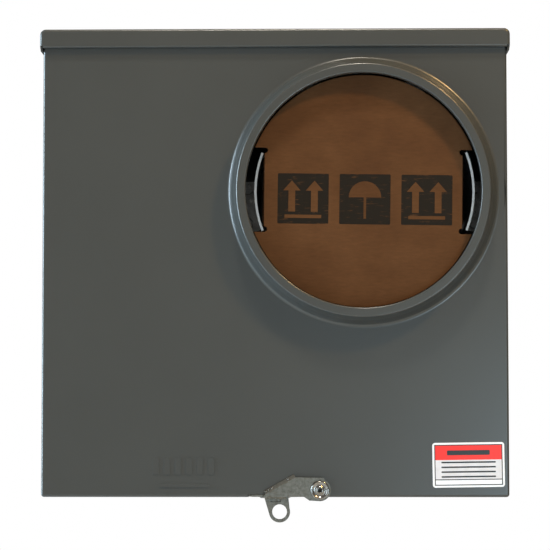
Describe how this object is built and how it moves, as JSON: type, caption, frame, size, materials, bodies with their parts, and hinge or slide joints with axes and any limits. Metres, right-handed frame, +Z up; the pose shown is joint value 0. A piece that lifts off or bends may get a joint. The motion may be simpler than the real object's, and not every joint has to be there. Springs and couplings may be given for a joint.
{
  "type": "meter socket enclosure",
  "caption": "Ringless wall-mounted meter socket box with a lift-off cover, a raised meter opening, jaws, lugs and a sealable latch.",
  "frame": {"origin": "middle of the back face, which lies on the wall", "axes": "+Z up, +Y into the wall, +X to the right when facing the cover"},
  "size_m": [0.3344, 0.136, 0.355],
  "materials": {
    "enamel": "semi-gloss dark grey baked enamel",
    "zinc": "zinc plated",
    "latch_steel": "dull rolled stainless",
    "rivet_steel": "bright",
    "aluminium": "extruded",
    "tinned_copper": "tin plated",
    "spring_steel": "tempered",
    "thermoset": "moulded black",
    "gasket": "matt",
    "cardboard": "brown kraft",
    "label": "printed film"
  },
  "bodies": {
    "enclosure": {"back_pan": "enamel", "base_screw_1": "zinc", "base_screw_2": "zinc", "base_screw_3": "zinc", "base_screw_4": "zinc", "bottom_end_wall": "enamel", "bracket_screw_1": "zinc", "bracket_screw_2": "zinc", "ground_bolt": "zinc", "ground_lug": "aluminium", "ground_screw": "zinc", "hasp_rivet_1": "rivet_steel", "hasp_rivet_2": "rivet_steel", "hub_closing_plate": "enamel", "hub_gasket": "gasket", "hub_screw_1": "zinc", "hub_screw_2": "zinc", "hub_screw_3": "zinc", "hub_screw_4": "zinc", "jaw_1": "tinned_copper", "jaw_2": "tinned_copper", "jaw_3": "tinned_copper", "jaw_4": "tinned_copper", "jaw_base": "thermoset", "jaw_spring_1": "spring_steel", "jaw_spring_2": "spring_steel", "jaw_spring_3": "spring_steel", "jaw_spring_4": "spring_steel", "latch_hasp": "latch_steel", "lug_1": "aluminium", "lug_1_screw": "zinc", "lug_2": "aluminium", "lug_2_screw": "zinc", "lug_3": "aluminium", "lug_3_screw": "zinc", "lug_4": "aluminium", "lug_4_screw": "zinc", "meter_support_left": "zinc", "meter_support_right": "zinc", "neutral_bar": "aluminium", "neutral_bracket": "zinc", "neutral_screw_1": "zinc", "neutral_screw_2": "zinc", "neutral_screw_3": "zinc", "support_screw_1": "zinc", "support_screw_2": "zinc", "support_screw_3": "zinc", "support_screw_4": "zinc", "top_end_wall": "enamel"},
    "cover": {"cover": "enamel", "cover_label": "label", "latch_rivet": "rivet_steel"},
    "latch": {"latch_lever": "latch_steel"},
    "insert": {"shipping_insert": "cardboard"}
  },
  "joints": [
    {"name": "cover_tilt", "type": "hinge", "parent": "enclosure", "child": "cover", "pos_m": [0, -0.118, 0.1527], "axis": [-1, 0, 0], "range_deg": [0, 30]},
    {"name": "latch_swing", "type": "hinge", "parent": "cover", "child": "latch", "pos_m": [0.0318, -0.121, -0.1609], "axis": [0, -1, 0], "range_deg": [0, 100]},
    {"name": "insert_pull", "type": "slide", "parent": "enclosure", "child": "insert", "axis": [0, -1, 0], "range_m": [0, 0.16]}
  ]
}
